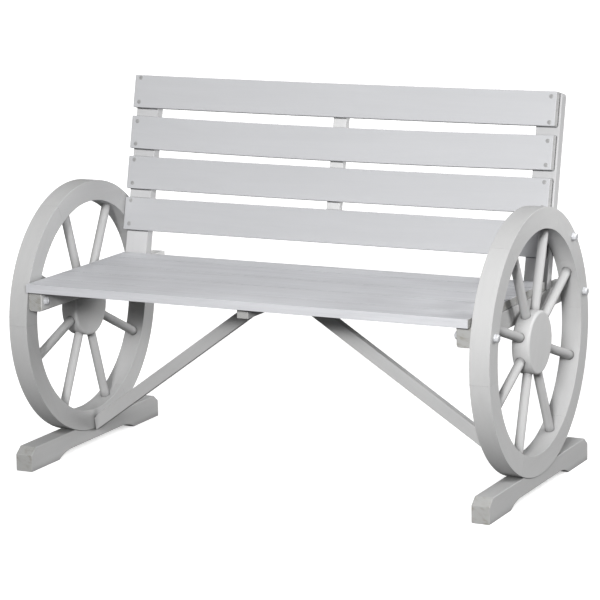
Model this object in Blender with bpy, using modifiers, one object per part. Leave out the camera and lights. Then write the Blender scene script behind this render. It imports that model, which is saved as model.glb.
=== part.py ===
# Wagon wheel bench: a slatted timber bench carried between two spoked wagon wheels.
# Metres, +Z up. X runs along the seat, the sitter faces -Y, and the origin lies on the floor
# under the middle of the bench. Angles on a wheel are in degrees, from +Y towards +Z.

import math

import bmesh
import bpy
from mathutils import Matrix, Vector

# Wheels
WHEEL_RADIUS = 0.2855
RIM_DEPTH = 0.0455
RIM_WIDTH = 0.0445
RIM_ROUND = 0.0016
RIM_ROUND_STEPS = 2
FELLOE_COUNT = 6
FELLOE_STEPS = 12
FELLOE_PHASE = 7.0
SPOKE_COUNT = 8
SPOKE_PHASE = 26.8
SPOKE_DIAMETER = 0.020
SPOKE_SOCKET = 0.014
LEFT_SPOKE_STRAYS = (0.0, -0.9, 0.0, 0.0, 2.1, 0.0, 0.0, 0.6)  # small errors of the hand-set spokes
RIGHT_SPOKE_STRAYS = (1.8, 0.0, 0.0, 0.0, 0.0, 0.0, 0.0, 0.0)
HUB_RADIUS = 0.068
HUB_LENGTH = 0.040
HUB_INSET = 0.004  # hub's inner end behind the rim's inner face
HUB_ROUND = 0.005
LEFT_WHEEL_TURN = -8.0
CLEAR_WIDTH = 1.044  # between the inner faces of the two wheels

# Feet
FOOT_LENGTH = 0.5714
FOOT_HEIGHT = 0.0527
FOOT_WIDTH = 0.0405
FOOT_CHAMFER_RUN = 0.0195
FOOT_CHAMFER_DROP = 0.015
FOOT_PAD = 0.1175  # the length that stands on the floor at each end
RELIEF_RISE = 0.0142
RELIEF_RUN = 0.055
SADDLE_DEPTH = 0.015  # how far the rim sinks into the foot
WHEEL_SHIFT = -0.0043  # wheel centre ahead of the foot's middle

# Seat
SEAT_HEIGHT = 0.4237
SEAT_OVERHANG = 0.0043  # front board ahead of the feet
SEAT_THICKNESS = 0.0187
SEAT_FRONT_BOARD = 0.0735
SEAT_MIDDLE_BOARD = 0.0955
SEAT_MIDDLE_COUNT = 3
SEAT_BACK_BOARD = 0.0635
SEAT_JOINT = 0.0008
SEAT_END_GAP = 0.002  # between the boards' ends and the wheels
RAIL_WIDTH = 0.032
RAIL_HEIGHT = 0.043
RAIL_FRONT_END = 0.0174  # rail past its front bolt
RAIL_REAR_END = 0.027  # rail past its rear bolt
RAIL_ROUND = 0.006
SEAT_BATTEN_WIDTH = 0.027
SEAT_BATTEN_HEIGHT = 0.022
SEAT_BATTEN_INSET = 0.020

# Back
BACK_TILT = 12.84
BACK_SETBACK = 0.0115  # from the seat's back edge to the posts, at seat height
SLAT_COUNT = 4
SLAT_WIDTH = 0.0748
SLAT_GAP = 0.0196
SLAT_THICKNESS = 0.0195
SLAT_LIFT = 0.0497  # up the slope, from seat height to the lowest slat
SLAT_SHORT = 0.0055  # right ends short of the post's outer face
SLAT_CROOKS = (0.0, 0.0024, 0.0052, 0.0018)  # how far each slat hangs at its middle, lowest first
SLAT_STRAYS = (0.0, 0.0013, 0.0, 0.0)  # how far each slat sits above its even place
SLAT_STEPS = 10
POST_WIDTH = 0.0545
POST_THICKNESS = 0.025
POST_ROUND = 0.008
BACK_BATTEN_WIDTH = 0.032
BACK_BATTEN_SHIFT = -0.001
BACK_BATTEN_THICKNESS = 0.018
BACK_BATTEN_INSET = 0.012

# Braces
BRACE_DEPTH = 0.028
BRACE_THICKNESS = 0.019
BRACE_FOOT_HEIGHT = 0.0314  # lower edge at the wheel, above the floor
BRACE_TOP_DROP = 0.0051  # lower edge at the bench's middle, below the seat boards
BRACE_SHIFT = -0.0033  # from the wheel centre, at the wheel
BRACE_LEAD = 0.062  # how far the brace comes forward on its way to the middle
BRACE_NOSE = 0.010
BRACE_END_RELIEF = 0.0045

# Fasteners
BOLT_DIAMETER = 0.008
HEX_ACROSS_FLATS = 0.0145
HEAD_HEIGHT = 0.0075
NUT_HEIGHT = 0.0065
WASHER_DIAMETER = 0.018
WASHER_THICKNESS = 0.0018
BOLT_TAIL = 0.002  # thread past the nut
FRONT_BOLT_DROP = 0.0215  # below the seat boards
REAR_BOLT_DROP = 0.0175
POST_BOLT_INSET = 0.0149  # from the rim's tread
POST_BOLT_REACH = 0.040  # into the post
HOLE_OVERSHOOT = 0.003  # bolt hole's cutter past the rim's face
HEX_SIDES = 6

# Fits and easings
CLEARANCE = 0.0003
BOARD_EDGE = 0.0012
ARC_STEPS = 12
ROUND_STEPS = 3
TURNED_STEPS = 32
DOWEL_SIDES = 12
WELD = 0.00001
SHARP_ANGLE = math.radians(40)  # edges sharper than this are eased or left crisp
FLAT_ANGLE = math.radians(0.2)  # faces flatter than this are one face

# Finishes: colour, roughness, metallic
WHEEL_PAINT = ("wheel_paint", (0.52, 0.52, 0.53), 0.65, 0.0)
BOARD_PAINT = ("board_paint", (0.58, 0.58, 0.60), 0.62, 0.0)
FRAME_PAINT = ("frame_paint", (0.46, 0.46, 0.45), 0.68, 0.0)
ZINC = ("zinc", (0.72, 0.73, 0.75), 0.30, 1.0)

# Places that follow from the sizes above
FOOT_MIDDLE_Y = SEAT_OVERHANG / 2
SEAT_FRONT_Y = FOOT_MIDDLE_Y - FOOT_LENGTH / 2 - SEAT_OVERHANG
WHEEL_Y = FOOT_MIDDLE_Y + WHEEL_SHIFT
WHEEL_Z = FOOT_HEIGHT - SADDLE_DEPTH + CLEARANCE + WHEEL_RADIUS
RIM_INNER = WHEEL_RADIUS - RIM_DEPTH
BOLT_CIRCLE = WHEEL_RADIUS - RIM_DEPTH / 2
INNER_FACE = CLEAR_WIDTH / 2
OUTER_FACE = INNER_FACE + RIM_WIDTH
PIECE_END = INNER_FACE - CLEARANCE
SEAT_BOTTOM = SEAT_HEIGHT - SEAT_THICKNESS
SEAT_BOARDS = [SEAT_FRONT_BOARD] + [SEAT_MIDDLE_BOARD] * SEAT_MIDDLE_COUNT + [SEAT_BACK_BOARD]
SEAT_BACK_Y = SEAT_FRONT_Y + sum(SEAT_BOARDS) + SEAT_JOINT * (len(SEAT_BOARDS) - 1)
RAIL_TOP = SEAT_BOTTOM - CLEARANCE
TILT = math.radians(BACK_TILT)
UP_SLOPE = Vector((0, math.sin(TILT), math.cos(TILT)))
BEHIND = Vector((0, math.cos(TILT), -math.sin(TILT)))
BACK_ORIGIN = Vector((0, SEAT_BACK_Y + BACK_SETBACK, SEAT_HEIGHT))
SLAT_PITCH = SLAT_WIDTH + SLAT_GAP
BACK_TOP = SLAT_LIFT + SLAT_PITCH * SLAT_COUNT - SLAT_GAP

# How an outline drawn in X and Y stands up
FACING_FRONT = (math.pi / 2, 0, 0)
FACING_SIDE = (math.pi / 2, 0, math.pi / 2)
FACING_BACK_SLOPE = (math.pi / 2 - TILT, 0, 0)


def clear_scene():
    for obj in list(bpy.data.objects):
        bpy.data.objects.remove(obj, do_unlink=True)


def new_collection(name):
    collection = bpy.data.collections.new(name)
    bpy.context.scene.collection.children.link(collection)
    return collection


def finish(spec):
    name, colour, roughness, metallic = spec
    material = bpy.data.materials.get(name)
    if material is None:
        material = bpy.data.materials.new(name)
        material.use_nodes = True
        shader = material.node_tree.nodes["Principled BSDF"]
        shader.inputs["Base Color"].default_value = (*colour, 1)
        shader.inputs["Roughness"].default_value = roughness
        shader.inputs["Metallic"].default_value = metallic
    return material


def add_part(name, mesh, spec, location=(0, 0, 0), rotation=(0, 0, 0), parent=None):
    obj = bpy.data.objects.new(name, mesh)
    if not mesh.materials:
        mesh.materials.append(finish(spec))
    obj.location = location
    obj.rotation_euler = rotation
    obj.parent = parent
    PARTS.objects.link(obj)
    return obj


def add_cutter(name, mesh, location, rotation, parent=None):
    obj = bpy.data.objects.new(name, mesh)
    obj.location = location
    obj.rotation_euler = rotation
    obj.parent = parent
    obj.hide_render = True
    obj.display_type = "WIRE"
    CUTTERS.objects.link(obj)
    return obj


def boolean(obj, other, operation="DIFFERENCE"):
    modifier = obj.modifiers.new(other.name, "BOOLEAN")
    modifier.operation = operation
    modifier.solver = "EXACT"
    modifier.object = other


def ease_edges(obj, width):
    modifier = obj.modifiers.new("eased_edges", "BEVEL")
    modifier.width = width
    modifier.segments = 1
    modifier.limit_method = "ANGLE"
    modifier.angle_limit = SHARP_ANGLE


def mesh_from(bm, name):
    mesh = bpy.data.meshes.new(name)
    bm.to_mesh(mesh)
    bm.free()
    return mesh


def shaded_smooth(mesh):
    mesh.shade_smooth()
    mesh.set_sharp_from_angle(angle=SHARP_ANGLE)
    return mesh


def evaluated_mesh(obj):
    bpy.context.view_layer.update()
    graph = bpy.context.evaluated_depsgraph_get()
    return bpy.data.meshes.new_from_object(obj.evaluated_get(graph))


def arc(centre, radius, start, end, steps):
    points = []
    for step in range(steps + 1):
        angle = start + (end - start) * step / steps
        points.append((centre[0] + radius * math.cos(angle), centre[1] + radius * math.sin(angle)))
    return points


def plate_mesh(name, outline, thickness):
    curve = bpy.data.curves.new(name, "CURVE")
    curve.dimensions = "2D"
    curve.fill_mode = "BOTH"
    curve.extrude = thickness / 2
    spline = curve.splines.new("POLY")
    spline.points.add(len(outline) - 1)
    for point, (x, y) in zip(spline.points, outline):
        point.co = (x, y, 0, 1)
    spline.use_cyclic_u = True
    guide = bpy.data.objects.new(name + "_outline", curve)
    CUTTERS.objects.link(guide)
    mesh = evaluated_mesh(guide)
    bpy.data.objects.remove(guide)
    bpy.data.curves.remove(curve)
    bm = bmesh.new()
    bm.from_mesh(mesh)
    bmesh.ops.remove_doubles(bm, verts=bm.verts, dist=WELD)
    bmesh.ops.dissolve_limit(bm, angle_limit=FLAT_ANGLE, verts=bm.verts, edges=bm.edges)
    bmesh.ops.recalc_face_normals(bm, faces=bm.faces)
    bpy.data.meshes.remove(mesh)
    return mesh_from(bm, name)


def box_mesh(name, size):
    bm = bmesh.new()
    bmesh.ops.create_cube(bm, size=1)
    bmesh.ops.scale(bm, vec=size, verts=bm.verts)
    return mesh_from(bm, name)


def rod_mesh(name, diameter, low, high, sides=DOWEL_SIDES):
    bm = bmesh.new()
    bmesh.ops.create_cone(
        bm,
        cap_ends=True,
        segments=sides,
        radius1=diameter / 2,
        radius2=diameter / 2,
        depth=high - low,
    )
    bmesh.ops.translate(bm, vec=(0, 0, (low + high) / 2), verts=bm.verts)
    return shaded_smooth(mesh_from(bm, name))


def board(name, low, high, spec, edge=BOARD_EDGE):
    low, high = Vector(low), Vector(high)
    obj = add_part(name, box_mesh(name, high - low), spec, (low + high) / 2)
    ease_edges(obj, edge)
    return obj


# Wheels


def felloe_mesh(name):
    gap = CLEARANCE / BOLT_CIRCLE
    sweep = 2 * math.pi / FELLOE_COUNT - gap
    bm = bmesh.new()
    bmesh.ops.create_grid(bm, x_segments=1, y_segments=1, size=0.5)
    bmesh.ops.scale(bm, vec=(RIM_WIDTH, RIM_DEPTH, 1), verts=bm.verts)
    bmesh.ops.translate(bm, vec=(0, BOLT_CIRCLE, 0), verts=bm.verts)
    bmesh.ops.bevel(
        bm,
        geom=list(bm.verts),
        offset=RIM_ROUND,
        affect="VERTICES",
        segments=RIM_ROUND_STEPS,
        profile=0.5,
    )
    start = Matrix.Rotation(gap / 2, 3, "X")
    bmesh.ops.rotate(bm, cent=(0, 0, 0), matrix=start, verts=bm.verts)
    bmesh.ops.spin(
        bm,
        geom=bm.verts[:] + bm.edges[:] + bm.faces[:],
        cent=(0, 0, 0),
        axis=(1, 0, 0),
        dvec=(0, 0, 0),
        angle=sweep,
        steps=FELLOE_STEPS,
    )
    bmesh.ops.holes_fill(bm, edges=bm.edges)
    bmesh.ops.recalc_face_normals(bm, faces=bm.faces)
    return shaded_smooth(mesh_from(bm, name))


def hub_mesh(name):
    half = HUB_LENGTH / 2
    inner = HUB_RADIUS - HUB_ROUND
    profile = [(0, half)]
    profile += arc((inner, half - HUB_ROUND), HUB_ROUND, math.pi / 2, 0, ROUND_STEPS)
    profile += arc((inner, HUB_ROUND - half), HUB_ROUND, 0, -math.pi / 2, ROUND_STEPS)
    profile += [(0, -half)]
    bm = bmesh.new()
    points = [bm.verts.new((x, 0, z)) for x, z in profile]
    for first, second in zip(points, points[1:]):
        bm.edges.new((first, second))
    outline = add_cutter(name + "_profile", mesh_from(bm, name), (0, 0, 0), (0, 0, 0))
    screw = outline.modifiers.new("turned", "SCREW")
    screw.steps = screw.render_steps = TURNED_STEPS
    screw.use_merge_vertices = True
    screw.merge_threshold = WELD
    mesh = evaluated_mesh(outline)
    bpy.data.objects.remove(outline)
    return shaded_smooth(mesh)


def angle_apart(first, second):
    return abs((first - second + 180) % 360 - 180)


def wheel(side, sign, turn, strays, bolts):
    axle = bpy.data.objects.new(side + "_wheel", None)
    axle.location = (sign * (INNER_FACE + RIM_WIDTH / 2), WHEEL_Y, WHEEL_Z)
    axle.rotation_euler = (math.radians(turn), 0, 0)
    PARTS.objects.link(axle)

    hub_shift = sign * (HUB_INSET + HUB_LENGTH / 2 - RIM_WIDTH / 2)
    hub_turn = (0, math.pi / 2, 0)
    hub = add_part(side + "_hub", hub_mesh(side + "_hub"), WHEEL_PAINT, (hub_shift, 0, 0), hub_turn, axle)

    socket_low = HUB_RADIUS - SPOKE_SOCKET
    socket_high = RIM_INNER + SPOKE_SOCKET
    spoke = rod_mesh("spoke", SPOKE_DIAMETER, socket_low, socket_high)
    socket = rod_mesh(
        "socket",
        SPOKE_DIAMETER + 2 * CLEARANCE,
        socket_low - CLEARANCE,
        socket_high + CLEARANCE,
    )
    cuts = []
    for index in range(SPOKE_COUNT):
        angle = SPOKE_PHASE + index * 360 / SPOKE_COUNT + strays[index % len(strays)]
        along = (math.radians(angle) - math.pi / 2, 0, 0)
        add_part(f"{side}_spoke_{index + 1}", spoke, WHEEL_PAINT, (0, 0, 0), along, axle)
        cutter = add_cutter(f"{side}_socket_{index + 1}", socket, (0, 0, 0), along, axle)
        boolean(hub, cutter)
        cuts.append((angle, SPOKE_DIAMETER, RIM_INNER, cutter))
    for angle, cutter in bolts:
        cuts.append((angle - turn, BOLT_DIAMETER, BOLT_CIRCLE, cutter))

    felloe = felloe_mesh(side + "_felloe")
    half_felloe = 180 / FELLOE_COUNT
    for index in range(FELLOE_COUNT):
        start = FELLOE_PHASE + index * 360 / FELLOE_COUNT
        name = f"{side}_felloe_{index + 1}"
        piece = add_part(name, felloe, WHEEL_PAINT, (0, 0, 0), (math.radians(start), 0, 0), axle)
        for angle, width, radius, cutter in cuts:
            reach = half_felloe + math.degrees(width / radius)
            if angle_apart(angle, start + half_felloe) < reach:
                boolean(piece, cutter)


def foot(side, sign):
    half = FOOT_LENGTH / 2
    inner_pad = half - FOOT_PAD
    radius = (RELIEF_RUN**2 + RELIEF_RISE**2) / (2 * RELIEF_RISE)
    sweep = math.asin(RELIEF_RUN / radius)
    arch_end = inner_pad - RELIEF_RUN
    centre_z = RELIEF_RISE - radius
    saddle = WHEEL_RADIUS + CLEARANCE
    saddle_half = math.acos((WHEEL_Z - FOOT_HEIGHT) / saddle)
    down = -math.pi / 2
    upright = math.pi / 2
    outline = [(-half, 0), (-inner_pad, 0)]
    outline += arc((-arch_end, centre_z), radius, upright + sweep, upright, ARC_STEPS // 2)[1:]
    outline += arc((arch_end, centre_z), radius, upright, upright - sweep, ARC_STEPS // 2)[:-1]
    outline += [(inner_pad, 0), (half, 0)]
    outline += [(half, FOOT_HEIGHT - FOOT_CHAMFER_DROP), (half - FOOT_CHAMFER_RUN, FOOT_HEIGHT)]
    outline += arc((WHEEL_SHIFT, WHEEL_Z), saddle, down + saddle_half, down - saddle_half, ARC_STEPS)
    outline += [(FOOT_CHAMFER_RUN - half, FOOT_HEIGHT), (-half, FOOT_HEIGHT - FOOT_CHAMFER_DROP)]
    place = (sign * (INNER_FACE + RIM_WIDTH / 2), FOOT_MIDDLE_Y, 0)
    mesh = plate_mesh(side + "_foot", outline, FOOT_WIDTH)
    add_part(side + "_foot", mesh, FRAME_PAINT, place, FACING_SIDE)


# Seat


def seat_boards():
    names = ["seat_board_front"]
    names += [f"seat_board_middle_{index + 1}" for index in range(SEAT_MIDDLE_COUNT)]
    names += ["seat_board_back"]
    y = SEAT_FRONT_Y
    for name, width in zip(names, SEAT_BOARDS):
        low = (SEAT_END_GAP - INNER_FACE, y, SEAT_BOTTOM)
        high = (INNER_FACE - SEAT_END_GAP, y + width, SEAT_HEIGHT)
        board(name, low, high, BOARD_PAINT)
        y += width + SEAT_JOINT


def seat_rail(side, sign, cutters):
    places = bolt_places()
    front = places["front_rail"][0] - RAIL_FRONT_END
    rear = places["rear_rail"][0] + RAIL_REAR_END
    half_width = RAIL_WIDTH / 2
    corner_x = half_width - RAIL_ROUND
    corner_z = RAIL_ROUND - RAIL_HEIGHT
    outline = [(half_width, 0), (-half_width, 0)]
    outline += arc((-corner_x, corner_z), RAIL_ROUND, math.pi, 1.5 * math.pi, ROUND_STEPS)
    outline += arc((corner_x, corner_z), RAIL_ROUND, -math.pi / 2, 0, ROUND_STEPS)
    place = (sign * (PIECE_END - half_width), (front + rear) / 2, RAIL_TOP)
    mesh = plate_mesh(side + "_seat_rail", outline, rear - front)
    rail = add_part(side + "_seat_rail", mesh, FRAME_PAINT, place, FACING_FRONT)
    for cutter in cutters:
        boolean(rail, cutter)


def seat_batten():
    half = SEAT_BATTEN_WIDTH / 2
    low = (-half, SEAT_FRONT_Y + SEAT_BATTEN_INSET, RAIL_TOP - SEAT_BATTEN_HEIGHT)
    high = (half, SEAT_BACK_Y - SEAT_BATTEN_INSET, RAIL_TOP)
    board("seat_batten", low, high, FRAME_PAINT)


# Back


def slats():
    half = PIECE_END - SLAT_SHORT / 2
    depth = CLEARANCE + SLAT_THICKNESS / 2
    for index in range(SLAT_COUNT):
        crook = SLAT_CROOKS[index % len(SLAT_CROOKS)]
        lower = []
        for step in range(SLAT_STEPS + 1):
            x = half * (2 * step / SLAT_STEPS - 1)
            lower.append((x, -SLAT_WIDTH / 2 - crook * (1 - (x / half) ** 2)))
        upper = [(x, y + SLAT_WIDTH) for x, y in reversed(lower)]
        middle = SLAT_LIFT + SLAT_WIDTH / 2 + index * SLAT_PITCH + SLAT_STRAYS[index % len(SLAT_STRAYS)]
        place = BACK_ORIGIN + UP_SLOPE * middle - BEHIND * depth
        place.x = -SLAT_SHORT / 2
        name = f"back_slat_{index + 1}"
        mesh = plate_mesh(name, lower + upper, SLAT_THICKNESS)
        ease_edges(add_part(name, mesh, BOARD_PAINT, place, FACING_BACK_SLOPE), BOARD_EDGE)


def post(side, sign, floor_cutter, bolt_cutter):
    outer = sign * POST_WIDTH / 2
    inner = -outer
    shoulder = sign * (POST_WIDTH / 2 - POST_ROUND)
    sunk = POST_THICKNESS * math.tan(TILT) + (SEAT_HEIGHT - RAIL_TOP) / math.cos(TILT)
    outline = [(inner, -sunk), (outer, -sunk)]
    start, end = (0, math.pi / 2) if sign > 0 else (math.pi, math.pi / 2)
    outline += arc((shoulder, BACK_TOP - POST_ROUND), POST_ROUND, start, end, ROUND_STEPS)
    outline += [(inner, BACK_TOP)]
    place = BACK_ORIGIN + BEHIND * (POST_THICKNESS / 2)
    place.x = sign * (PIECE_END - POST_WIDTH / 2)
    mesh = plate_mesh(side + "_post", outline, POST_THICKNESS)
    obj = add_part(side + "_post", mesh, FRAME_PAINT, place, FACING_BACK_SLOPE)
    boolean(obj, floor_cutter)
    boolean(obj, bolt_cutter)


def back_batten():
    low = SLAT_LIFT + BACK_BATTEN_INSET
    high = BACK_TOP - BACK_BATTEN_INSET
    size = (BACK_BATTEN_WIDTH, high - low, BACK_BATTEN_THICKNESS)
    place = BACK_ORIGIN + UP_SLOPE * ((low + high) / 2) + BEHIND * (BACK_BATTEN_THICKNESS / 2)
    place.x = BACK_BATTEN_SHIFT
    obj = add_part("back_batten", box_mesh("back_batten", size), FRAME_PAINT, place, FACING_BACK_SLOPE)
    ease_edges(obj, BOARD_EDGE)


# Braces


def brace(side, sign):
    top = SEAT_BOTTOM - CLEARANCE
    middle_height = SEAT_BOTTOM - BRACE_TOP_DROP
    slope = (BRACE_FOOT_HEIGHT - middle_height) / PIECE_END
    rise = BRACE_DEPTH * math.sqrt(1 + slope**2)
    at_batten = SEAT_BATTEN_WIDTH / 2 + CLEARANCE
    at_seat = (top - middle_height - rise) / slope
    tip = PIECE_END - BRACE_END_RELIEF
    nose = PIECE_END - BRACE_NOSE

    def lower(x):
        return middle_height + slope * x

    outline = [
        (tip, lower(tip)),
        (PIECE_END, lower(nose) + rise - BRACE_NOSE),
        (nose, lower(nose) + rise),
        (at_seat, top),
        (at_batten, top),
        (at_batten, lower(at_batten)),
    ]
    mesh = plate_mesh(side + "_brace", [(sign * x, z) for x, z in outline], BRACE_THICKNESS)
    lead = BRACE_LEAD / PIECE_END
    for vertex in mesh.vertices:
        vertex.co.z -= lead * abs(vertex.co.x)
    place = (0, WHEEL_Y + BRACE_SHIFT - BRACE_LEAD, 0)
    add_part(side + "_brace", mesh, FRAME_PAINT, place, FACING_FRONT)


# Fasteners: each is drawn along +Z, pointing out of the bench


def hexagon_mesh(name, low, high):
    return rod_mesh(name, HEX_ACROSS_FLATS / math.cos(math.pi / HEX_SIDES), low, high, HEX_SIDES)


def joined(name, first, second):
    base = add_cutter(name, first, (0, 0, 0), (0, 0, 0))
    other = add_cutter(name + "_joined", second, (0, 0, 0), (0, 0, 0))
    boolean(base, other, "UNION")
    mesh = evaluated_mesh(base)
    bpy.data.objects.remove(base)
    bpy.data.objects.remove(other)
    return mesh


def bolt_mesh(name, shank):
    head = hexagon_mesh(name, WASHER_THICKNESS / 2, WASHER_THICKNESS + HEAD_HEIGHT)
    washer = rod_mesh(name, WASHER_DIAMETER, 0, WASHER_THICKNESS, 2 * DOWEL_SIDES)
    stem = rod_mesh(name, BOLT_DIAMETER, -shank, WASHER_THICKNESS / 2)
    return joined(name, joined(name, head, washer), stem)


def nut_mesh(name):
    nut = hexagon_mesh(name, -WASHER_THICKNESS - NUT_HEIGHT, -WASHER_THICKNESS / 2)
    washer = rod_mesh(name, WASHER_DIAMETER, -WASHER_THICKNESS, 0, 2 * DOWEL_SIDES)
    return joined(name, nut, washer)


def bolt_places():
    front_z = SEAT_BOTTOM - FRONT_BOLT_DROP
    rear_z = SEAT_BOTTOM - REAR_BOLT_DROP
    front_reach = math.sqrt(BOLT_CIRCLE**2 - (front_z - WHEEL_Z) ** 2)
    rear_reach = math.sqrt(BOLT_CIRCLE**2 - (rear_z - WHEEL_Z) ** 2)
    post_foot = BACK_ORIGIN + BEHIND * (POST_THICKNESS / 2)
    from_axle = post_foot - Vector((0, WHEEL_Y, WHEEL_Z))
    along = from_axle.dot(UP_SLOPE)
    post_circle = WHEEL_RADIUS - POST_BOLT_INSET
    rise = math.sqrt(along**2 - from_axle.length_squared + post_circle**2) - along
    post_middle = post_foot + UP_SLOPE * rise  # where the post crosses the rim
    return {
        "front_rail": (WHEEL_Y - front_reach, front_z),
        "rear_rail": (WHEEL_Y + rear_reach, rear_z),
        "post": (post_middle.y, post_middle.z),
    }


def fasteners(side, sign):
    outward = (0, sign * math.pi / 2, 0)
    head_seat = OUTER_FACE + CLEARANCE
    nut_seat = PIECE_END - RAIL_WIDTH - CLEARANCE
    rail_shank = head_seat - nut_seat + WASHER_THICKNESS + NUT_HEIGHT + BOLT_TAIL
    post_shank = head_seat - PIECE_END + POST_BOLT_REACH
    nut = nut_mesh(side + "_nut")
    holes = {}
    for place, (y, z) in bolt_places().items():
        shank = post_shank if place == "post" else rail_shank
        name = f"{side}_{place}_bolt"
        seat = (sign * head_seat, y, z)
        hole = rod_mesh(name + "_hole", BOLT_DIAMETER + 2 * CLEARANCE, -shank - CLEARANCE, HOLE_OVERSHOOT)
        holes[place] = add_cutter(name + "_hole", hole, seat, outward)
        add_part(name, bolt_mesh(name, shank), ZINC, seat, outward)
        if place != "post":
            far = (sign * nut_seat, y, z)
            boolean(add_part(f"{side}_{place}_nut", nut, ZINC, far, outward), holes[place])
    return holes


def bench_side(side, sign, turn, strays, floor_cutter):
    holes = fasteners(side, sign)
    bolts = []
    for place, (y, z) in bolt_places().items():
        bolts.append((math.degrees(math.atan2(z - WHEEL_Z, y - WHEEL_Y)), holes[place]))
    wheel(side, sign, turn, strays, bolts)
    foot(side, sign)
    seat_rail(side, sign, (holes["front_rail"], holes["rear_rail"]))
    post(side, sign, floor_cutter, holes["post"])
    brace(side, sign)


clear_scene()
PARTS = new_collection("wagon_wheel_bench")
CUTTERS = new_collection("cutters")
BELOW_RAILS = add_cutter(
    "below_rail_tops",
    box_mesh("below_rail_tops", (2 * OUTER_FACE, FOOT_LENGTH, SEAT_HEIGHT)),
    (0, BACK_ORIGIN.y, SEAT_BOTTOM - SEAT_HEIGHT / 2),
    (0, 0, 0),
)
bench_side("left", -1, LEFT_WHEEL_TURN, LEFT_SPOKE_STRAYS, BELOW_RAILS)
bench_side("right", 1, 0, RIGHT_SPOKE_STRAYS, BELOW_RAILS)
seat_boards()
seat_batten()
slats()
back_batten()
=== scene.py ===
import math

import bmesh
import bpy
import numpy as np
from mathutils import Matrix, Vector


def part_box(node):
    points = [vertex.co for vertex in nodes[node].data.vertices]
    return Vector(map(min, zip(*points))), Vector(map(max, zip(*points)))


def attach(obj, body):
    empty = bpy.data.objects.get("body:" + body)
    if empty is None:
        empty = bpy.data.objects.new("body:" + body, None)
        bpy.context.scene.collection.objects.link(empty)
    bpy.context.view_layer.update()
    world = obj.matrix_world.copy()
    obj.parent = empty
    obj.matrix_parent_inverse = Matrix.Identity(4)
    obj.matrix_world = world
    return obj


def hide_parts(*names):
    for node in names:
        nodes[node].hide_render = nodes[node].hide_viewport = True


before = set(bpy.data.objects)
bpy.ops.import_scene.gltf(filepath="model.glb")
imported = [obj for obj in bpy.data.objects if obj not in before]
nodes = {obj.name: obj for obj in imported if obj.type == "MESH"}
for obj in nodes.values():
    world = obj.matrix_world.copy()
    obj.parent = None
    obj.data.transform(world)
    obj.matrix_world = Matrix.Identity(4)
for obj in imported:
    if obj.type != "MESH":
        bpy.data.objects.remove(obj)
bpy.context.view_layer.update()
scene = bpy.context.scene
print("frame loaded with", len(nodes), "solids")


# shader helpers

def addNode(tree, kind, operation=None, **inputs):
    node = tree.nodes.new(kind)
    if operation:
        node.operation = operation
    for name, value in inputs.items():
        key = int(name[2:]) if name.startswith("in") else name  # in0, in1 are sockets by number
        if isinstance(value, bpy.types.NodeSocket):
            tree.links.new(value, node.inputs[key])
        else:
            node.inputs[key].default_value = value
    return node


# every group gives a colour, a roughness and a bump height
def newGroup(name, takes):
    tree = bpy.data.node_groups.new(name, "ShaderNodeTree")
    for socketName, kind in takes.items():
        tree.interface.new_socket(name=socketName, in_out="INPUT", socket_type="NodeSocket" + kind)
    for socketName, kind in (("Color", "Color"), ("Roughness", "Float"), ("Height", "Float")):
        tree.interface.new_socket(name=socketName, in_out="OUTPUT", socket_type="NodeSocket" + kind)
    return tree, tree.nodes.new("NodeGroupInput").outputs


def endGroup(tree, colour, roughness, height):
    addNode(tree, "NodeGroupOutput", Color=colour, Roughness=roughness, Height=height)
    return tree


def stretched(tree, vector, scale):
    return addNode(tree, "ShaderNodeVectorMath", "MULTIPLY", in0=vector, in1=scale).outputs[0]


# one layer of noise, stretched by its own scale and moved by the shift
def noise(tree, vector, layer, shift=(0, 0, 0)):
    place = addNode(tree, "ShaderNodeVectorMath", "MULTIPLY_ADD", in0=vector, in1=layer["scale"], in2=shift)
    node = addNode(tree, "ShaderNodeTexNoise", Vector=place.outputs[0], Scale=1.0, Detail=layer["detail"],
                   Roughness=layer.get("roughness", 0.5))
    return node.outputs[0]


def added(tree, first, second):
    return addNode(tree, "ShaderNodeMath", "ADD", in0=first, in1=second).outputs[0]


def multiplied(tree, first, second):
    return addNode(tree, "ShaderNodeMath", "MULTIPLY", in0=first, in1=second).outputs[0]


def around(tree, value, amount):  # (value - 0.5) * amount
    centred = addNode(tree, "ShaderNodeMath", "SUBTRACT", in0=value, in1=0.5).outputs[0]
    return multiplied(tree, centred, amount)


def ramp(tree, value, zeroAt, oneAt):
    limits = {"From Min": zeroAt, "From Max": oneAt}
    return addNode(tree, "ShaderNodeMapRange", Value=value, **limits).outputs[0]


def tinted(tree, colour, factor):
    return addNode(tree, "ShaderNodeVectorMath", "SCALE", in0=colour, Scale=factor).outputs[0]


# paint over sawn fir: long soft bands, fine raised grain, a little uneven cover, and painted shade that darkens
# the corners

paintLook = {
    "drift": {"scale": (1.3, 7, 7), "detail": 2}, "driftReach": 5.0,
    "bands": {"scale": (2.0, 70, 70), "detail": 4, "roughness": 0.6},
    "bandTone": 1.5, "bandHeight": 0.5, "bandRoughness": 0.22,
    "fine": {"scale": (14, 520, 520), "detail": 2}, "fineTone": 0.7, "fineHeight": 0.5,
    "blotch": {"scale": (5, 11, 11), "detail": 3},
    "roughness": 0.62, "darkest": 0.05,
    "dirtSamples": 8, "dirtFrom": 0.85, "dirtFull": 0.30,
}


# painted corner shade: 1 deep in a corner between pieces, 0 on open faces
def paintedCornerShade(tree, reach, look):
    opening = addNode(tree, "ShaderNodeAmbientOcclusion", Distance=reach)
    opening.samples = look["dirtSamples"]
    return ramp(tree, opening.outputs["AO"], look["dirtFrom"], look["dirtFull"])


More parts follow.
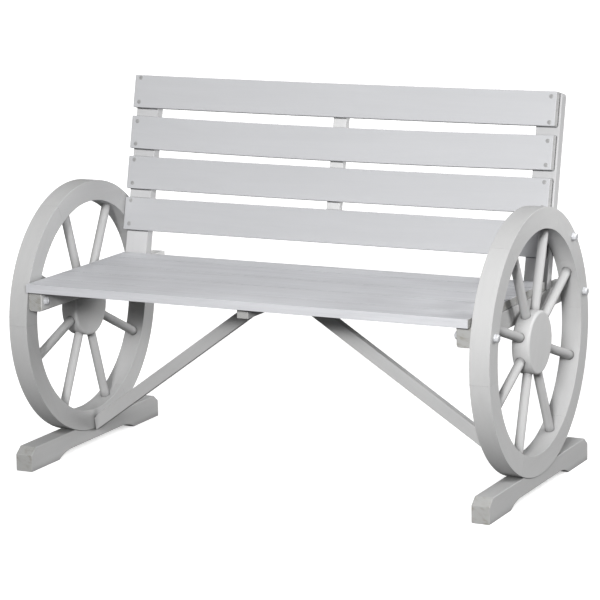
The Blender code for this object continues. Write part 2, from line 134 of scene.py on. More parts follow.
def paintOverGrain(look):
    tree, given = newGroup("paintOverGrain", {
        "Grain": "Vector", "Paint": "Color", "Streaks": "Float", "Mottle": "Float", "Grime": "Float",
        "Reach": "Float", "Shade": "Float"})
    grain = given["Grain"]
    drift = around(tree, noise(tree, grain, look["drift"]), look["driftReach"])
    bands = noise(tree, grain, look["bands"], drift)
    fine = noise(tree, grain, look["fine"])
    blotch = noise(tree, grain, look["blotch"])
    lines = added(tree, around(tree, bands, look["bandTone"]), around(tree, fine, look["fineTone"]))
    streaks = multiplied(tree, lines, given["Streaks"])
    tone = added(tree, added(tree, streaks, around(tree, blotch, given["Mottle"])), 1.0)
    # painted shade: the paint is darkened where nearby pieces hide it from light
    shadeDarkening = multiplied(tree, paintedCornerShade(tree, given["Reach"], look), given["Grime"])
    tone = addNode(tree, "ShaderNodeMath", "SUBTRACT", in0=tone, in1=shadeDarkening).outputs[0]
    tone = addNode(tree, "ShaderNodeMath", "MAXIMUM", in0=tone, in1=look["darkest"]).outputs[0]
    tone = multiplied(tree, tone, given["Shade"])
    roughness = added(tree, around(tree, bands, look["bandRoughness"]), look["roughness"])
    height = added(tree, around(tree, bands, look["bandHeight"]), around(tree, fine, look["fineHeight"]))
    return endGroup(tree, tinted(tree, given["Paint"], tone), roughness, height)


# thinly painted end grain: growth rings, with bare wood where it is scuffed

endLook = {
    "ringRate": 1900.0,  # radians per metre
    "ringTone": 0.07, "ringHeight": 0.1,
    "wobble": {"scale": (40, 40, 40), "detail": 2}, "wobbleReach": 7.0,
    "patches": {"scale": (60, 45, 130), "detail": 5, "roughness": 0.65},
    "patchHeight": 0.8, "patchRoughness": 0.2,
    "roughness": 0.74, "scuffFrom": 0.50, "scuffFull": 0.66,
}


def endGrain(look):
    tree, given = newGroup("endGrain", {"Grain": "Vector", "Paint": "Color", "Bare": "Color", "Scuffs": "Float"})
    grain = given["Grain"]
    wobble = around(tree, noise(tree, grain, look["wobble"]), look["wobbleReach"])
    across = stretched(tree, grain, (0, 1, 1))
    fromHeart = addNode(tree, "ShaderNodeVectorMath", "LENGTH", in0=across).outputs["Value"]
    turns = added(tree, multiplied(tree, fromHeart, look["ringRate"]), wobble)
    rings = addNode(tree, "ShaderNodeMath", "SINE", in0=turns).outputs[0]
    patches = noise(tree, grain, look["patches"])
    worn = ramp(tree, patches, look["scuffFrom"], look["scuffFull"])
    tone = added(tree, multiplied(tree, rings, look["ringTone"]), 1.0)
    mixed = tree.nodes.new("ShaderNodeMix")
    mixed.data_type = "RGBA"
    tree.links.new(multiplied(tree, worn, given["Scuffs"]), mixed.inputs[0])
    tree.links.new(tinted(tree, given["Paint"], tone), mixed.inputs[6])
    tree.links.new(given["Bare"], mixed.inputs[7])
    roughness = added(tree, around(tree, patches, look["patchRoughness"]), look["roughness"])
    height = added(tree, around(tree, patches, look["patchHeight"]), around(tree, rings, look["ringHeight"]))
    return endGroup(tree, mixed.outputs[2], roughness, height)


# zinc plate: faint crystal patches and rubbed clouds

plateLook = {
    "crystalScale": (420, 420, 420), "clouds": {"scale": (260, 260, 260), "detail": 3},
    "roughness": 0.32, "cloudRoughness": 0.3,
}


def zincPlate(look):
    tree, given = newGroup("zincPlate", {"Place": "Vector", "Metal": "Color", "Patches": "Float"})
    place = given["Place"]
    crystals = addNode(tree, "ShaderNodeTexVoronoi", Vector=stretched(tree, place, look["crystalScale"]),
                       Scale=1.0).outputs["Color"]
    clouds = noise(tree, place, look["clouds"])
    tone = added(tree, around(tree, crystals, given["Patches"]), around(tree, clouds, given["Patches"]))
    roughness = added(tree, around(tree, clouds, look["cloudRoughness"]), look["roughness"])
    return endGroup(tree, tinted(tree, given["Metal"], added(tree, tone, 1.0)), roughness, clouds)


groups = {"paint": paintOverGrain(paintLook), "end": endGrain(endLook), "plate": zincPlate(plateLook)}

# values that a finish does not name are taken from finishBase
finishBase = {"Reach": 0.022, "bumpDistance": 0.0008, "metallic": 0.0, "specular": 0.35}
# each finish's painted shade darkens its corners out to Reach
finishes = {
    "wheelPaint": {"group": "paint", "Paint": (0.469, 0.469, 0.469), "Streaks": 0.07, "Mottle": 0.09,
                   "Grime": 0.35, "bump": 0.18},
    "hubPaint": {"group": "paint", "Paint": (0.515, 0.515, 0.515), "Streaks": 0.06, "Mottle": 0.08,
                 "Grime": 0.55, "Reach": 0.050, "bump": 0.15},
    "spokePaint": {"group": "paint", "Paint": (0.460, 0.460, 0.460), "Streaks": 0.08, "Mottle": 0.08,
                   "Grime": 0.55, "bump": 0.14},
    "slatPaint": {"group": "paint", "Paint": (0.477, 0.481, 0.494), "Streaks": 0.055, "Mottle": 0.05,
                  "Grime": 0.10, "bump": 0.15},
    "seatPaint": {"group": "paint", "Paint": (0.537, 0.542, 0.563), "Streaks": 0.22, "Mottle": 0.14,
                  "Grime": 0.15, "bump": 0.22},
    # painted shade for the grooves between seat boards
    "seamPaint": {"group": "paint", "Paint": (0.24, 0.24, 0.25), "Streaks": 0.10, "Mottle": 0.30,
                  "Grime": 0.30, "bump": 0.22},
    "framePaint": {"group": "paint", "Paint": (0.42, 0.42, 0.42), "Streaks": 0.08, "Mottle": 0.10,
                   "Grime": 0.45, "bump": 0.20},
    "railPaint": {"group": "paint", "Paint": (0.555, 0.555, 0.551), "Streaks": 0.08, "Mottle": 0.08,
                  "Grime": 0.30, "Reach": 0.015, "bump": 0.20},
    # posts and battens get a strong, short painted shade: the thin shadow line under each slat
    "postPaint": {"group": "paint", "Paint": (0.545, 0.545, 0.550), "Streaks": 0.06, "Mottle": 0.05,
                  "Grime": 1.60, "Reach": 0.004, "bump": 0.16},
    "battenPaint": {"group": "paint", "Paint": (0.63, 0.63, 0.63), "Streaks": 0.06, "Mottle": 0.05,
                    "Grime": 1.60, "Reach": 0.004, "bump": 0.16},
    "thinEnds": {"group": "end", "Paint": (0.355, 0.355, 0.348), "Bare": (0.22, 0.207, 0.167), "Scuffs": 0.60,
                 "bump": 0.35},
    "slatEnds": {"group": "end", "Paint": (0.43, 0.43, 0.43), "Bare": (0.30, 0.30, 0.295), "Scuffs": 0.50,
                 "bump": 0.30},
    "brightZinc": {"group": "plate", "Metal": (0.70, 0.71, 0.73), "Patches": 0.16, "bump": 0.05,
                   "metallic": 0.40},
    "dullScrew": {"group": "plate", "Metal": (0.35, 0.35, 0.35), "Patches": 0.20, "bump": 0.1, "metallic": 0.1},
}


def newFinish(name, look):
    look = {**finishBase, **look}
    material = bpy.data.materials.new(name)
    material.use_nodes = True
    tree = material.node_tree
    shader = tree.nodes["Principled BSDF"]
    group = tree.nodes.new("ShaderNodeGroup")
    group.node_tree = groups[look["group"]]
    if look["group"] == "plate":
        place = tree.nodes.new("ShaderNodeTexCoord").outputs["Object"]
    else:
        attribute = tree.nodes.new("ShaderNodeAttribute")
        attribute.attribute_name = "grain"
        place = attribute.outputs["Vector"]
    tree.links.new(place, group.inputs[0])
    for key in group.inputs.keys()[1:]:
        if key == "Shade":
            shade = tree.nodes.new("ShaderNodeAttribute")
            shade.attribute_name = "shade"
            tree.links.new(shade.outputs["Fac"], group.inputs[key])
        else:
            value = look[key]
            group.inputs[key].default_value = (*value, 1) if isinstance(value, tuple) else value
    bump = addNode(tree, "ShaderNodeBump", Strength=look["bump"], Distance=look["bumpDistance"],
                   Height=group.outputs["Height"])
    tree.links.new(group.outputs["Color"], shader.inputs["Base Color"])
    tree.links.new(group.outputs["Roughness"], shader.inputs["Roughness"])
    tree.links.new(bump.outputs[0], shader.inputs["Normal"])
    shader.inputs["Metallic"].default_value = look["metallic"]
    shader.inputs["Specular IOR Level"].default_value = look["specular"]


for finishName, finishLook in finishes.items():
    newFinish(finishName, finishLook)
print("finishes made:", len(finishes))


# mesh helpers

cornerAngle = 0.7  # radians between two faces: sharper edges are eased
sides = {"left": -1, "right": 1}


def toMesh(name, bm):
    mesh = bpy.data.meshes.new(name)
    bm.to_mesh(mesh)
    bm.free()
    return mesh


def newBox(size):
    bm = bmesh.new()
    bmesh.ops.create_cube(bm, size=1)
    bmesh.ops.scale(bm, vec=size, verts=bm.verts)
    return bm


def sharpEdges(bm, angle=cornerAngle):
    return [e for e in bm.edges if e.calc_face_angle(0.0) > angle]


def ease(bm, edges, width, steps=3):
    bmesh.ops.bevel(bm, geom=edges, offset=width, affect="EDGES", segments=steps, profile=0.5, material=-1)


def middleOf(node):
    low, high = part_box(node)
    return (low + high) / 2


def camel(node):
    first, *rest = node.split("_")
    return first + "".join(word.capitalize() for word in rest)


# the grain runs along each piece, and each piece shows another stretch of it
grainLook = {"lengthwise": 0.9, "sideHint": (0.3, 0.5, 0.81), "step": (3.1, 0.13, 0.09), "repeat": 17}
pieces = []


# puts a mesh into the bench: grain coordinates, end faces, shading, body and solid
def addPiece(name, mesh, paint, along, stands=(), crisp=9.0, ends=None, square=0.93, shade=1.0):
    along = Vector(along).normalized()
    if abs(along.x) > grainLook["lengthwise"]:
        side = Vector((0, 1, 0))
    else:
        side = along.cross(Vector(grainLook["sideHint"])).normalized()
    turn = np.array((along, side, along.cross(side)))
    points = np.empty(len(mesh.vertices) * 3, np.float32)
    mesh.vertices.foreach_get("co", points)
    points = points.reshape(-1, 3)
    stretch = (len(pieces) + 1) % grainLook["repeat"] + 1
    local = (points - points.mean(0)) @ turn.T + np.array(grainLook["step"]) * stretch
    grain = mesh.attributes.new("grain", "FLOAT_VECTOR", "POINT")
    grain.data.foreach_set("vector", local.astype(np.float32).ravel())
    # a tone factor for the whole piece; on the rails and posts it is painted light and shade
    ownShade = mesh.attributes.new("shade", "FLOAT", "POINT")
    ownShade.data.foreach_set("value", np.full(len(mesh.vertices), shade, np.float32))
    mesh.materials.clear()
    mesh.materials.append(bpy.data.materials[paint])
    if ends:
        mesh.materials.append(bpy.data.materials[ends])
    for face in mesh.polygons:
        face.material_index = 1 if ends and abs(face.normal.dot(along)) > square else 0
    mesh.shade_smooth()
    mesh.set_sharp_from_angle(angle=math.radians(crisp))
    piece = bpy.data.objects.new(name, mesh)
    scene.collection.objects.link(piece)
    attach(piece, "root")
    if stands:
        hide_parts(*stands)
    pieces.append(piece)


def rodMesh(name, width, start, end, rounds, edge=0.0):
    start, end = Vector(start), Vector(end)
    bm = bmesh.new()
    bmesh.ops.create_cone(bm, cap_ends=True, segments=rounds, radius1=width / 2, radius2=width / 2,
                          depth=(end - start).length)
    if edge:
        ease(bm, sharpEdges(bm), edge)
    turn = (end - start).to_track_quat("Z", "Y").to_matrix().to_4x4()
    bmesh.ops.transform(bm, matrix=Matrix.Translation((start + end) / 2) @ turn, verts=bm.verts)
    return toMesh(name, bm)


def cutHoles(name, mesh, tools):
    blank = bpy.data.objects.new(name, mesh)
    scene.collection.objects.link(blank)
    drills = []
    for tool in tools:
        drill = bpy.data.objects.new("drill", tool)
        scene.collection.objects.link(drill)
        drills.append(drill)
        hole = blank.modifiers.new("hole", "BOOLEAN")
        hole.solver = "EXACT"
        hole.object = drill
    bpy.context.view_layer.update()
    graph = bpy.context.evaluated_depsgraph_get()
    cut = bpy.data.meshes.new_from_object(blank.evaluated_get(graph))
    for spare in (blank, *drills):
        bpy.data.objects.remove(spare)
    return cut


# a board at the origin, along X, bent by the crook in the middle of its length
def plankMesh(name, size, edge, cuts=0, crook=0.0):
    bm = newBox(size)
    if cuts:
        lengths = [e for e in bm.edges if abs(e.verts[0].co.x - e.verts[1].co.x) > size[0] / 2]
        bmesh.ops.subdivide_edges(bm, edges=lengths, cuts=cuts, use_grid_fill=True)
        for vert in bm.verts:
            vert.co.y -= crook * (1 - (2 * vert.co.x / size[0]) ** 2)
    ease(bm, sharpEdges(bm), edge)
    return toMesh(name, bm)


copyLook = {"merge": 0.00002, "flat": 0.5, "holeReach": 0.007}


# a merged copy of a solid with its edges rounded, clear of its bolt holes
def easedCopy(node, edge, holes=()):
    bm = bmesh.new()
    bm.from_mesh(nodes[node].data)
    bmesh.ops.remove_doubles(bm, verts=bm.verts, dist=copyLook["merge"])
    bmesh.ops.dissolve_limit(bm, angle_limit=math.radians(copyLook["flat"]), verts=bm.verts, edges=bm.edges)
    clear = []
    for e in sharpEdges(bm):
        middle = (e.verts[0].co + e.verts[1].co) / 2
        if all((middle.yz - Vector(hole)).length >= copyLook["holeReach"] for hole in holes):
            clear.append(e)
    ease(bm, clear, edge)
    return toMesh(node, bm)


# wheels: sawn felloes, turned hub, dowel spokes

wheelLook = {
    "radius": 0.2855, "rimDepth": 0.0455, "rimWidth": 0.0445, "rimEdge": 0.0007, "rimEdgeSteps": 4,
    "felloes": 6, "felloeTurn": 7.0, "jointGap": 0.0002, "arcSteps": 30,
    "spokes": 8, "spokeTurn": 26.8, "spokeWidth": 0.020, "spokeSides": 32, "spokeEdge": 0.0008, "spokeCrisp": 25,
    "socketDepth": 0.014, "socketPlay": 0.0007, "socketEndPlay": 0.0003, "boltHole": 0.0086,
    "turn": {"left": -8.0, "right": 0.0},
    "strays": {"left": (0, -0.9, 0, 0, 2.1, 0, 0, 0.6), "right": (1.8, 0, 0, 0, 0, 0, 0, 0)},
}
hubLook = {
    "radius": 0.068, "length": 0.040, "edge": 0.0055, "rim": 0.0008, "edgeSteps": 6, "sideRings": 9,
    "turnSteps": 96, "merge": 0.00001, "grain": (0, 0.35, 0.94), "crisp": 30,
}
boltPlaces = ("front_rail", "rear_rail", "post")


def felloeMesh(name, look, centre, startAngle):
    middle = look["radius"] - look["rimDepth"] / 2
    gap = look["jointGap"] / middle
    bm = bmesh.new()
    bmesh.ops.create_grid(bm, x_segments=1, y_segments=1, size=0.5)
    bmesh.ops.scale(bm, vec=(look["rimWidth"], look["rimDepth"], 1), verts=bm.verts)
    bmesh.ops.bevel(bm, geom=bm.verts[:], offset=look["rimEdge"], affect="VERTICES",
                    segments=look["rimEdgeSteps"], profile=0.5, material=-1)
    bmesh.ops.translate(bm, vec=(0, middle, 0), verts=bm.verts)
    bmesh.ops.rotate(bm, cent=(0, 0, 0), matrix=Matrix.Rotation(startAngle + gap / 2, 3, "X"), verts=bm.verts)
    bmesh.ops.spin(bm, geom=bm.verts[:] + bm.edges[:] + bm.faces[:], cent=(0, 0, 0), axis=(1, 0, 0),
                   dvec=(0, 0, 0), angle=2 * math.pi / look["felloes"] - gap, steps=look["arcSteps"])
    bmesh.ops.holes_fill(bm, edges=bm.edges)
    bmesh.ops.translate(bm, vec=centre, verts=bm.verts)
    bmesh.ops.recalc_face_normals(bm, faces=bm.faces)
    return toMesh(name, bm)


# half of the hub's outline is mirrored, joined along the side and spun round the axle
def hubMesh(name, look, centre):
    half, edge = look["length"] / 2, look["edge"]
    bm = bmesh.new()
    crown = bm.verts.new((half, 0, 0))
    lip = bm.verts.new((half, look["radius"] - edge - look["rim"], 0))  # keeps the flat face flat
    shoulder = bm.verts.new((half, look["radius"] - edge, 0))
    bm.edges.new((crown, lip))
    bm.edges.new((lip, shoulder))
    bmesh.ops.spin(bm, geom=[shoulder], cent=(half - edge, look["radius"] - edge, 0), axis=(0, 0, 1),
                   dvec=(0, 0, 0), angle=math.pi / 2, steps=look["edgeSteps"])
    bmesh.ops.mirror(bm, geom=bm.verts[:] + bm.edges[:], axis="X", merge_dist=-1)
    belly = sorted(bm.verts, key=lambda v: -v.co.y)[:2]
    side = bm.edges.new(belly)
    bmesh.ops.subdivide_edges(bm, edges=[side], cuts=look["sideRings"])
    bmesh.ops.spin(bm, geom=bm.verts[:] + bm.edges[:], cent=(0, 0, 0), axis=(1, 0, 0), dvec=(0, 0, 0),
                   angle=2 * math.pi, steps=look["turnSteps"], use_merge=True)
    bmesh.ops.remove_doubles(bm, verts=bm.verts, dist=look["merge"])
    bmesh.ops.recalc_face_normals(bm, faces=bm.faces)
    bmesh.ops.translate(bm, vec=centre, verts=bm.verts)
    return toMesh(name, bm)


def boltHolePoints(side):
    return [middleOf(f"{side}_{place}_bolt").yz for place in boltPlaces]


# each drill is its angle round the wheel, the angle it takes up there, and its width, start and end
def makeWheel(side, look):
    axle = middleOf(side + "_hub")
    rimMiddle = Vector((middleOf(side + "_felloe_1").x, axle.y, axle.z))
    bore = look["radius"] - look["rimDepth"]
    inner = hubLook["radius"] - look["socketDepth"]
    outer = bore + look["socketDepth"]
    socketWidth = look["spokeWidth"] + 2 * look["socketPlay"]
    drills = []
    for index, stray in enumerate(look["strays"][side]):
        angle = math.radians(look["turn"][side] + look["spokeTurn"] + index * 360 / look["spokes"] + stray)
        way = Vector((0, math.cos(angle), math.sin(angle)))
        name = f"{side}_spoke_{index + 1}"
        spoke = rodMesh(camel(name), look["spokeWidth"], rimMiddle + way * inner, rimMiddle + way * outer,
                        look["spokeSides"], look["spokeEdge"])
        addPiece(camel(name), spoke, "spokePaint", way, [name], crisp=look["spokeCrisp"])
        socketStart = rimMiddle + way * (inner - look["socketEndPlay"])
        socketEnd = rimMiddle + way * (outer + look["socketEndPlay"])
        drills.append((angle, look["spokeWidth"] / bore, (socketWidth, socketStart, socketEnd)))
    tools = [rodMesh("socket", *drill, look["spokeSides"]) for _, _, drill in drills]
    hub = cutHoles(side + "Hub", hubMesh(side + "Hub", hubLook, axle), tools)
    addPiece(side + "Hub", hub, "hubPaint", hubLook["grain"], [side + "_hub"],
             crisp=hubLook["crisp"])
    across = Vector((look["rimWidth"], 0, 0))
    for y, z in boltHolePoints(side):
        place = Vector((rimMiddle.x, y, z))
        angle = math.atan2(z - axle.z, y - axle.y)
        drills.append((angle, look["boltHole"] / bore, (look["boltHole"], place - across, place + across)))
    share = 2 * math.pi / look["felloes"]
    for index in range(look["felloes"]):
        start = math.radians(look["turn"][side] + look["felloeTurn"]) + index * share
        middle = start + share / 2
        tools = []
        for angle, reach, drill in drills:
            apart = abs((angle - middle + math.pi) % (2 * math.pi) - math.pi)
            if apart < share / 2 + reach:
                tools.append(rodMesh("socket", *drill, look["spokeSides"]))
        name = f"{side}_felloe_{index + 1}"
        along = (0, -math.sin(middle), math.cos(middle))
        felloe = cutHoles(camel(name), felloeMesh(camel(name), look, rimMiddle, start), tools)
        addPiece(camel(name), felloe, "wheelPaint", along, [name])


for side in sides:
    makeWheel(side, wheelLook)
print("wheels built")


# feet, rails, posts, braces and battens

frameLook = {
    "backTilt": 12.84, "footEdge": 0.0015, "footSquare": 0.4, "postEdge": 0.0009, "braceEdge": 0.0014,
    "seatBattenEdge": 0.0013, "backBattenEdge": 0.0004,
    "railEdge": 0.0015, "railRound": 0.006, "railRoundSteps": 6, "holeSides": 24, "drillPast": 0.01,
    # painted light: the left rail is painted lighter, the right rail and right post darker, as the light falls
    # on them
    "railShades": {"left": 1.25, "right": 0.80}, "postShades": {"left": 1.0, "right": 0.88},
}
backTilt = math.radians(frameLook["backTilt"])
upSlope = Vector((0, math.sin(backTilt), math.cos(backTilt)))
behind = Vector((0, math.cos(backTilt), -math.sin(backTilt)))
backTurn = Matrix.Rotation(math.pi / 2 - backTilt, 4, "X")  # X along the slats, Y up the slope, Z to the front


# the two long lower edges are rounded more than the others
def railMesh(name, node, look, holes):
    low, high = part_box(node)
    bm = newBox(high - low)
    bmesh.ops.translate(bm, vec=(low + high) / 2, verts=bm.verts)
    under = []
    for e in bm.edges:
        first, second = (v.co for v in e.verts)
        lower = max(first.z, second.z) < (low.z + high.z) / 2
        if lower and abs(first.y - second.y) > (high.y - low.y) / 2:
            under.append(e)
    ease(bm, under, look["railRound"], look["railRoundSteps"])
    ease(bm, sharpEdges(bm), look["railEdge"])
    tools = []
    for y, z in holes:
        start, end = (low.x - look["drillPast"], y, z), (high.x + look["drillPast"], y, z)
        tools.append(rodMesh("hole", wheelLook["boltHole"], start, end, look["holeSides"]))
    return cutHoles(name, toMesh(name, bm), tools)


for side, sign in sides.items():
    holes = boltHolePoints(side)
    foot = easedCopy(side + "_foot", frameLook["footEdge"])
    addPiece(side + "Foot", foot, "framePaint", (0, 1, 0), [side + "_foot"], ends="thinEnds",
             square=frameLook["footSquare"])
    rail = railMesh(side + "SeatRail", side + "_seat_rail", frameLook, holes[:2])
    addPiece(side + "SeatRail", rail, "railPaint", (0, 1, 0), [side + "_seat_rail"],
             ends="thinEnds", shade=frameLook["railShades"][side])
    post = easedCopy(side + "_post", frameLook["postEdge"], holes)
    addPiece(side + "Post", post, "postPaint", upSlope, [side + "_post"],
             shade=frameLook["postShades"][side])
    low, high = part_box(side + "_brace")
    slope = Vector((sign * (high.x - low.x), 0, low.z - high.z))
    brace = easedCopy(side + "_brace", frameLook["braceEdge"])
    addPiece(side + "Brace", brace, "framePaint", slope, [side + "_brace"])

low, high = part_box("seat_batten")
batten = plankMesh("seatBatten", high - low, frameLook["seatBattenEdge"])
batten.transform(Matrix.Translation((low + high) / 2))
addPiece("seatBatten", batten, "framePaint", (0, 1, 0), ["seat_batten"], ends="thinEnds")
backBatten = easedCopy("back_batten", frameLook["backBattenEdge"])
addPiece("backBatten", backBatten, "battenPaint", upSlope, ["back_batten"])
print("frame built")


# seat boards: the sides that meet another board carry painted shade, and the three middle boards are eased more

seatLook = {"edge": 0.0007, "seamEdge": 0.0013, "seamTilt": 0.3, "seamClear": 0.01}
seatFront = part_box("seat_board_front")[0].y + seatLook["seamClear"]
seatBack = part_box("seat_board_back")[1].y - seatLook["seamClear"]
for node in sorted(n for n in nodes if n.startswith("seat_board")):
    low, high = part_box(node)
    edge = seatLook["seamEdge"] if "middle" in node else seatLook["edge"]
    board = plankMesh(camel(node), high - low, edge)
    board.transform(Matrix.Translation((low + high) / 2))
    addPiece(camel(node), board, "seatPaint", (1, 0, 0), [node], ends="thinEnds")
    board.materials.append(bpy.data.materials["seamPaint"])
    for face in board.polygons:
        frontSeam = -face.normal.y > seatLook["seamTilt"] and low.y > seatFront
        backSeam = face.normal.y > seatLook["seamTilt"] and high.y < seatBack
        if frontSeam or backSeam:
            face.material_index = 2
print("seat built")


# back slats, with the screws that hold them to the posts

slatLook = {
    "width": 0.0748, "pitch": 0.0944, "thickness": 0.0195, "lift": 0.0497, "setback": 0.0115, "play": 0.0003,
    "edge": 0.0014, "cuts": 24, "crooks": (0, 0.0024, 0.0052, 0.0018), "strays": (0, 0.0013, 0, 0),
    "shades": (0.945, 0.985, 1.03, 1.045),
}
screwLook = {
    "head": 0.0096, "dome": 0.0005, "rounds": 24, "rings": 12, "crisp": 40,
    "slot": 0.0054, "slotWide": 0.0011, "slotTall": 0.0007, "slotTurn": 0.4, "turnStep": 1.1,
    "across": {"left": -0.507, "right": 0.504},
    "rows": {"left": (0.0635, 0.1175, 0.1575, 0.2115, 0.2485, 0.3005, 0.3455, 0.4015),
             "right": (0.0635, 0.1175, 0.1575, 0.2115, 0.2485, 0.3005, 0.3405, 0.3965)},
}
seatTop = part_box("seat_board_back")[1]
backFoot = Vector((0, seatTop.y + slatLook["setback"], seatTop.z))
for index, crook in enumerate(slatLook["crooks"]):
    node = f"back_slat_{index + 1}"
    low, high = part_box(node)
    size = (high.x - low.x, slatLook["width"], slatLook["thickness"])
    rise = slatLook["lift"] + slatLook["width"] / 2 + index * slatLook["pitch"] + slatLook["strays"][index]
    place = backFoot + upSlope * rise - behind * (slatLook["play"] + slatLook["thickness"] / 2)
    place.x = (low.x + high.x) / 2
    slat = plankMesh(camel(node), size, slatLook["edge"], slatLook["cuts"], crook)
    slat.transform(Matrix.Translation(place) @ backTurn)
    addPiece(camel(node), slat, "slatPaint", (1, 0, 0), [node], ends="slatEnds",
             shade=slatLook["shades"][index])


# a flat dome with a crossed recess
def screwMesh(look):
    bm = bmesh.new()
    bmesh.ops.create_uvsphere(bm, u_segments=look["rounds"], v_segments=look["rings"], radius=look["head"] / 2)
    bmesh.ops.scale(bm, vec=(1, 1, 2 * look["dome"] / look["head"]), verts=bm.verts)
    mesh = toMesh("screwHead", bm)
    arms = []
    for turn in (look["slotTurn"], look["slotTurn"] + math.pi / 2):
        bm = newBox((look["slot"], look["slotWide"], look["slotTall"]))
        bmesh.ops.rotate(bm, cent=(0, 0, 0), matrix=Matrix.Rotation(turn, 3, "Z"), verts=bm.verts)
        bmesh.ops.translate(bm, vec=(0, 0, look["dome"]), verts=bm.verts)
        arms.append(toMesh("arm", bm))
    return cutHoles("screwHead", mesh, arms)


def joinedMesh(name, meshes):
    bm = bmesh.new()
    for mesh in meshes:
        bm.from_mesh(mesh)
        bpy.data.meshes.remove(mesh)
    return toMesh(name, bm)


oneScrew = screwMesh(screwLook)
slatFront = slatLook["play"] + slatLook["thickness"]
for side in sides:
    name = side + "SlatScrews"
    screws = []
    for count, rise in enumerate(screwLook["rows"][side]):
        place = backFoot + upSlope * rise - behind * slatFront
        place.x = screwLook["across"][side]
        turn = Matrix.Rotation(count * screwLook["turnStep"], 4, "Z")
        screw = oneScrew.copy()
        screw.transform(Matrix.Translation(place) @ backTurn @ turn)
        screws.append(screw)
    addPiece(name, joinedMesh(name, screws), "dullScrew", (1, 0, 0), crisp=screwLook["crisp"])
print("back built")


# zinc bolts, washers and nuts

boltLook = {
    "across": 0.0145, "headHeight": 0.0075, "headEdge": 0.0011, "flankEdge": 0.0003, "flankAngle": 0.9,
    "edgeSteps": 2, "crisp": 25,
    "washer": 0.018, "washerThick": 0.0018, "washerEdge": 0.0004, "washerSides": 32,
    "shank": 0.008, "shankEdge": 0.0006, "shankSides": 24,
}


# a hexagon with its far rim rounded and its other edges eased
def hexMesh(name, look, centre, way, height):
    bm = bmesh.new()
    radius = look["across"] / 2 / math.cos(math.pi / 6)
    bmesh.ops.create_cone(bm, cap_ends=True, segments=6, radius1=radius, radius2=radius, depth=height)
    rim = [e for e in bm.edges if all(v.co.z > 0 for v in e.verts)]
    ease(bm, rim, look["headEdge"], look["edgeSteps"])
    ease(bm, sharpEdges(bm, look["flankAngle"]), look["flankEdge"], look["edgeSteps"])
    turn = Vector(way).to_track_quat("Z", "Y").to_matrix().to_4x4()
    bmesh.ops.transform(bm, matrix=Matrix.Translation(centre) @ turn, verts=bm.verts)
    return toMesh(name, bm)


def washerMesh(look, start, out):
    end = start + out * look["washerThick"]
    return rodMesh("washer", look["washer"], start, end, look["washerSides"], look["washerEdge"])


# the middles of a solid's outer and inner ends
def endsOf(node, sign):
    low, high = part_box(node)
    middle = (low + high) / 2
    first, last = Vector((low.x, *middle.yz)), Vector((high.x, *middle.yz))
    return (last, first) if sign > 0 else (first, last)


def boltMesh(node, look, sign):
    out = Vector((sign, 0, 0))
    tip, tail = endsOf(node, sign)
    headHeight = look["headHeight"]
    seat = tip - out * (headHeight + look["washerThick"])
    return joinedMesh(camel(node), [
        hexMesh("head", look, tip - out * headHeight / 2, out, headHeight),
        washerMesh(look, seat, out),
        rodMesh("shank", look["shank"], tail, seat, look["shankSides"], look["shankEdge"])])


def nutMesh(node, look, sign):
    out = Vector((sign, 0, 0))
    outer, inner = endsOf(node, sign)
    face = outer - out * look["washerThick"]
    height = (face - inner).length
    return joinedMesh(camel(node), [
        hexMesh("nut", look, face - out * height / 2, -out, height),
        washerMesh(look, face, out)])


for side, sign in sides.items():
    for place in boltPlaces:
        for kind, maker in (("bolt", boltMesh), ("nut", nutMesh)):
            node = f"{side}_{place}_{kind}"
            if node in nodes:  # the post bolts have no nut
                addPiece(camel(node), maker(node, boltLook, sign), "brightZinc", (sign, 0, 0), [node],
                         crisp=boltLook["crisp"])
print("bolts built")


# floor, light and camera

stageLook = {
    "floor": (0.75, 0.75, 0.75), "roughness": 0.9, "specular": 0.1, "glow": 0.60, "bounce": (0.06, 0.06, 0.06),
    "reach": 30.0, "sky": 0.05, "sunDistance": 4,
}
lightLook = {
    "front": {"kind": "SUN", "azimuth": 13, "elevation": 18, "energy": 0.79, "spread": 6},
    "frontMiddle": {"kind": "SUN", "azimuth": 9, "elevation": 22, "energy": 0.29, "spread": 6},
    "frontRight": {"kind": "SUN", "azimuth": 16, "elevation": 20, "energy": 1.09, "spread": 6, "gloss": False},
    "sideLow": {"kind": "SUN", "azimuth": 85, "elevation": 8, "energy": 0.37, "spread": 10},
    "sideTop": {"kind": "SUN", "azimuth": 100, "elevation": 50, "energy": 0.49, "spread": 12, "gloss": False},
    "sideBack": {"kind": "SUN", "azimuth": 125, "elevation": 20, "energy": 1.59, "spread": 20},
    "above": {"kind": "SUN", "azimuth": 0, "elevation": 89, "energy": 0.79, "spread": 30},
    "back": {"kind": "SUN", "azimuth": 205, "elevation": 6, "energy": 1.2, "spread": 8, "gloss": False},
    "left": {"kind": "SUN", "azimuth": 245, "elevation": 5, "energy": 1.0, "spread": 8, "gloss": False},
    "softFront": {"kind": "AREA", "azimuth": 16, "elevation": 20, "energy": 26.2, "size": 0.5,
                  "distance": 2.2, "aim": (0.35, 0, 0.4)},
    "softSideTop": {"kind": "AREA", "azimuth": 98, "elevation": 22, "energy": 0.36, "size": 0.22,
                    "distance": 0.32, "aim": (0.545, 0.08, 0.555), "gloss": False},
    "cardFront": {"kind": "AREA", "azimuth": 0, "elevation": -90, "energy": 0.36, "size": 1.6,
                  "distance": 0.002, "aim": (0, -1.0, 0.004)},
    "cardUnder": {"kind": "AREA", "azimuth": 0, "elevation": -90, "energy": 0.21, "size": 0.9,
                  "distance": 0.002, "aim": (0, 0, 0.004)},
}
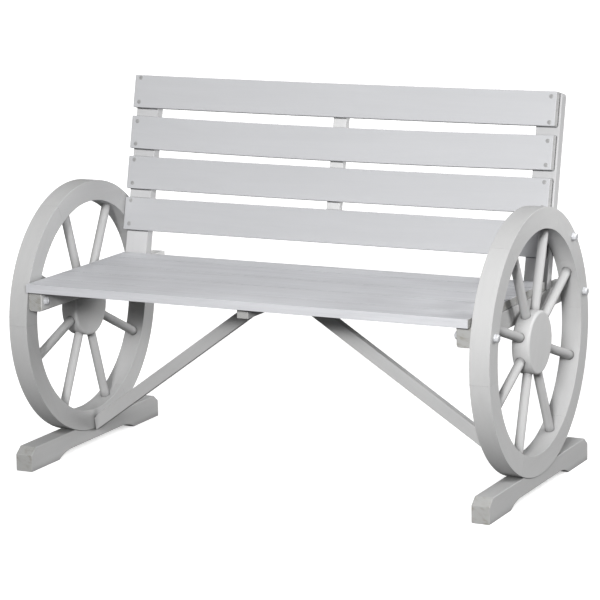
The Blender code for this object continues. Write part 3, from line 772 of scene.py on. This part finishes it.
cameraLook = {
    "azimuth": 26.42, "elevation": 11.21, "roll": -0.0173, "target": (-0.0472, 0.09985, 0.3513),
    "distance": 5.9969, "pixels": 2689.65, "frame": 600, "sensor": 36,
}


def wayFrom(azimuth, elevation):
    a, e = math.radians(azimuth), math.radians(elevation)
    return Vector((math.sin(a) * math.cos(e), -math.cos(a) * math.cos(e), math.sin(e)))


# the camera sees a pale glowing floor, and the bench gets only a little light back from it
def makeFloor(look):
    bm = bmesh.new()
    bmesh.ops.create_grid(bm, x_segments=1, y_segments=1, size=look["reach"])
    floor = bpy.data.objects.new("floor", toMesh("floor", bm))
    material = bpy.data.materials.new("paleFloor")
    material.use_nodes = True
    tree = material.node_tree
    pale = tree.nodes["Principled BSDF"]
    pale.inputs["Base Color"].default_value = (*look["floor"], 1)
    pale.inputs["Roughness"].default_value = look["roughness"]
    pale.inputs["Specular IOR Level"].default_value = look["specular"]
    pale.inputs["Emission Color"].default_value = (1, 1, 1, 1)
    pale.inputs["Emission Strength"].default_value = look["glow"]
    dim = addNode(tree, "ShaderNodeBsdfDiffuse", Color=(*look["bounce"], 1))
    seen = tree.nodes.new("ShaderNodeLightPath").outputs["Is Camera Ray"]
    both = addNode(tree, "ShaderNodeMixShader", Fac=seen, in1=dim.outputs[0], in2=pale.outputs[0])
    tree.links.new(both.outputs[0], tree.nodes["Material Output"].inputs["Surface"])
    floor.data.materials.append(material)
    scene.collection.objects.link(floor)


def makeLights(looks, stage):
    for name, look in looks.items():
        light = bpy.data.lights.new(name, look["kind"])
        light.energy = look["energy"]
        way = wayFrom(look["azimuth"], look["elevation"])
        lamp = bpy.data.objects.new(name, light)
        if look["kind"] == "SUN":
            light.angle = math.radians(look["spread"])
            lamp.location = way * stage["sunDistance"]
        else:
            light.shape = "DISK"
            light.size = look["size"]
            lamp.location = Vector(look["aim"]) + way * look["distance"]
        lamp.visible_camera = False
        lamp.visible_glossy = look.get("gloss", True)
        lamp.rotation_euler = way.to_track_quat("Z", "Y").to_euler()
        scene.collection.objects.link(lamp)
    scene.world = bpy.data.worlds.new("softSky")
    scene.world.use_nodes = True
    background = scene.world.node_tree.nodes["Background"]
    background.inputs["Color"].default_value = (1, 1, 1, 1)
    background.inputs["Strength"].default_value = stage["sky"]


def makeCamera(look):
    back = wayFrom(look["azimuth"], look["elevation"])
    a = math.radians(look["azimuth"])
    right = Vector((math.cos(a), math.sin(a), 0))
    up = back.cross(right)
    roll = look["roll"]
    turned = right * math.cos(roll) + up * math.sin(roll)
    lifted = up * math.cos(roll) - right * math.sin(roll)
    data = bpy.data.cameras.new("camera")
    data.sensor_width = look["sensor"]
    data.lens = look["pixels"] / look["frame"] * look["sensor"]
    camera = bpy.data.objects.new("camera", data)
    place = Matrix((turned, lifted, back)).transposed().to_4x4()
    place.translation = Vector(look["target"]) + back * look["distance"]
    camera.matrix_world = place
    scene.collection.objects.link(camera)
    scene.camera = camera


makeFloor(stageLook)
makeLights(lightLook, stageLook)
makeCamera(cameraLook)
scene.view_settings.view_transform = "Standard"
print("stage set")
